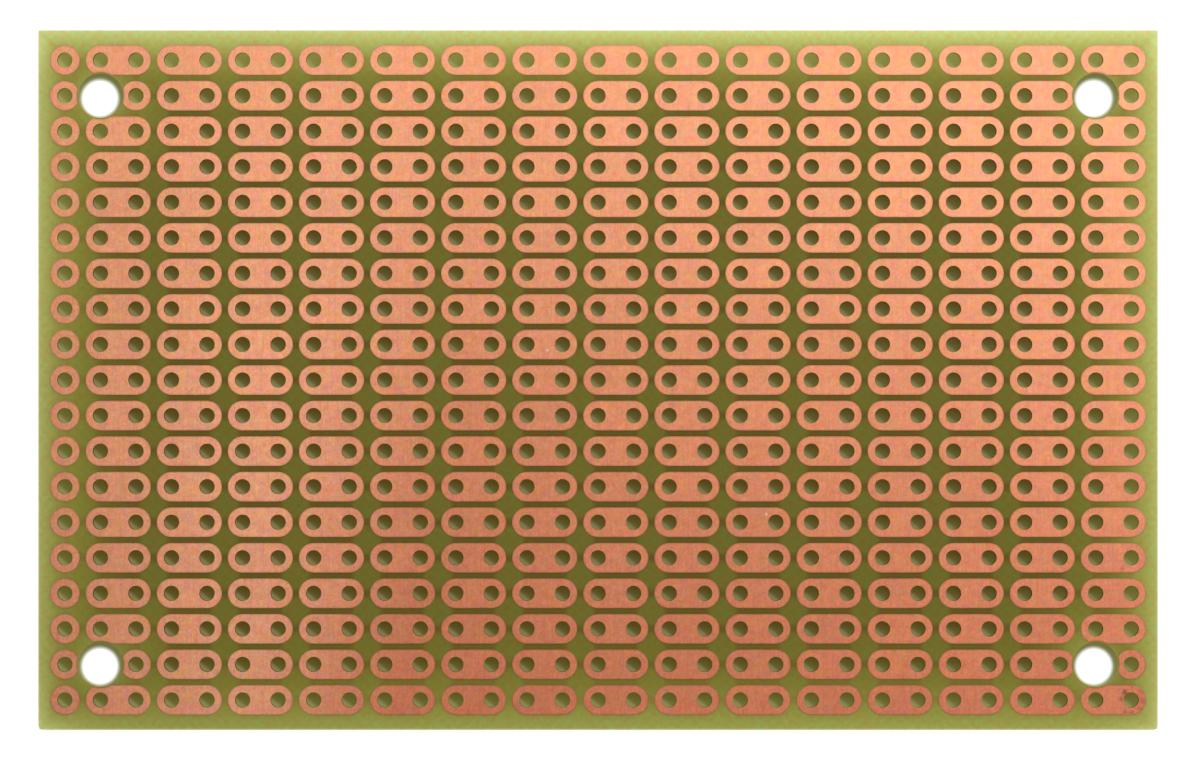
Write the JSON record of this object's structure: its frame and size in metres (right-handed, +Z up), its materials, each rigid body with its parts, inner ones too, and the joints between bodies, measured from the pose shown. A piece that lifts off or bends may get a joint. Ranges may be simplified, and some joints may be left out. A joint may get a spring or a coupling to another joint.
{
  "type": "prototype board",
  "caption": "Single-sided perforated circuit board with a grid of two-hole solder pads for building circuits by hand, fastened through a hole near each corner.",
  "frame": {"origin": "centre of the laminate's underside", "axes": "+X along the length, away from the column of ring pads; +Y across the width, towards the back edge, which has square corners; +Z up, out of the copper side"},
  "size_m": [0.08, 0.05, 0.0016],
  "materials": {
    "laminate": "satin",
    "copper": "satin"
  },
  "bodies": {
    "root": {"laminate": "laminate", "paired_pads_row_01": "copper", "paired_pads_row_02": "copper", "paired_pads_row_03": "copper", "paired_pads_row_04": "copper", "paired_pads_row_05": "copper", "paired_pads_row_06": "copper", "paired_pads_row_07": "copper", "paired_pads_row_08": "copper", "paired_pads_row_09": "copper", "paired_pads_row_10": "copper", "paired_pads_row_11": "copper", "paired_pads_row_12": "copper", "paired_pads_row_13": "copper", "paired_pads_row_14": "copper", "paired_pads_row_15": "copper", "paired_pads_row_16": "copper", "paired_pads_row_17": "copper", "paired_pads_row_18": "copper", "paired_pads_row_19": "copper", "ring_pad_row_01": "copper", "ring_pad_row_02": "copper", "ring_pad_row_03": "copper", "ring_pad_row_04": "copper", "ring_pad_row_05": "copper", "ring_pad_row_06": "copper", "ring_pad_row_07": "copper", "ring_pad_row_08": "copper", "ring_pad_row_09": "copper", "ring_pad_row_10": "copper", "ring_pad_row_11": "copper", "ring_pad_row_12": "copper", "ring_pad_row_13": "copper", "ring_pad_row_14": "copper", "ring_pad_row_15": "copper", "ring_pad_row_16": "copper", "ring_pad_row_17": "copper", "ring_pad_row_18": "copper", "ring_pad_row_19": "copper", "single_pads_row_02": "copper", "single_pads_row_18": "copper"}
  },
  "joints": []
}
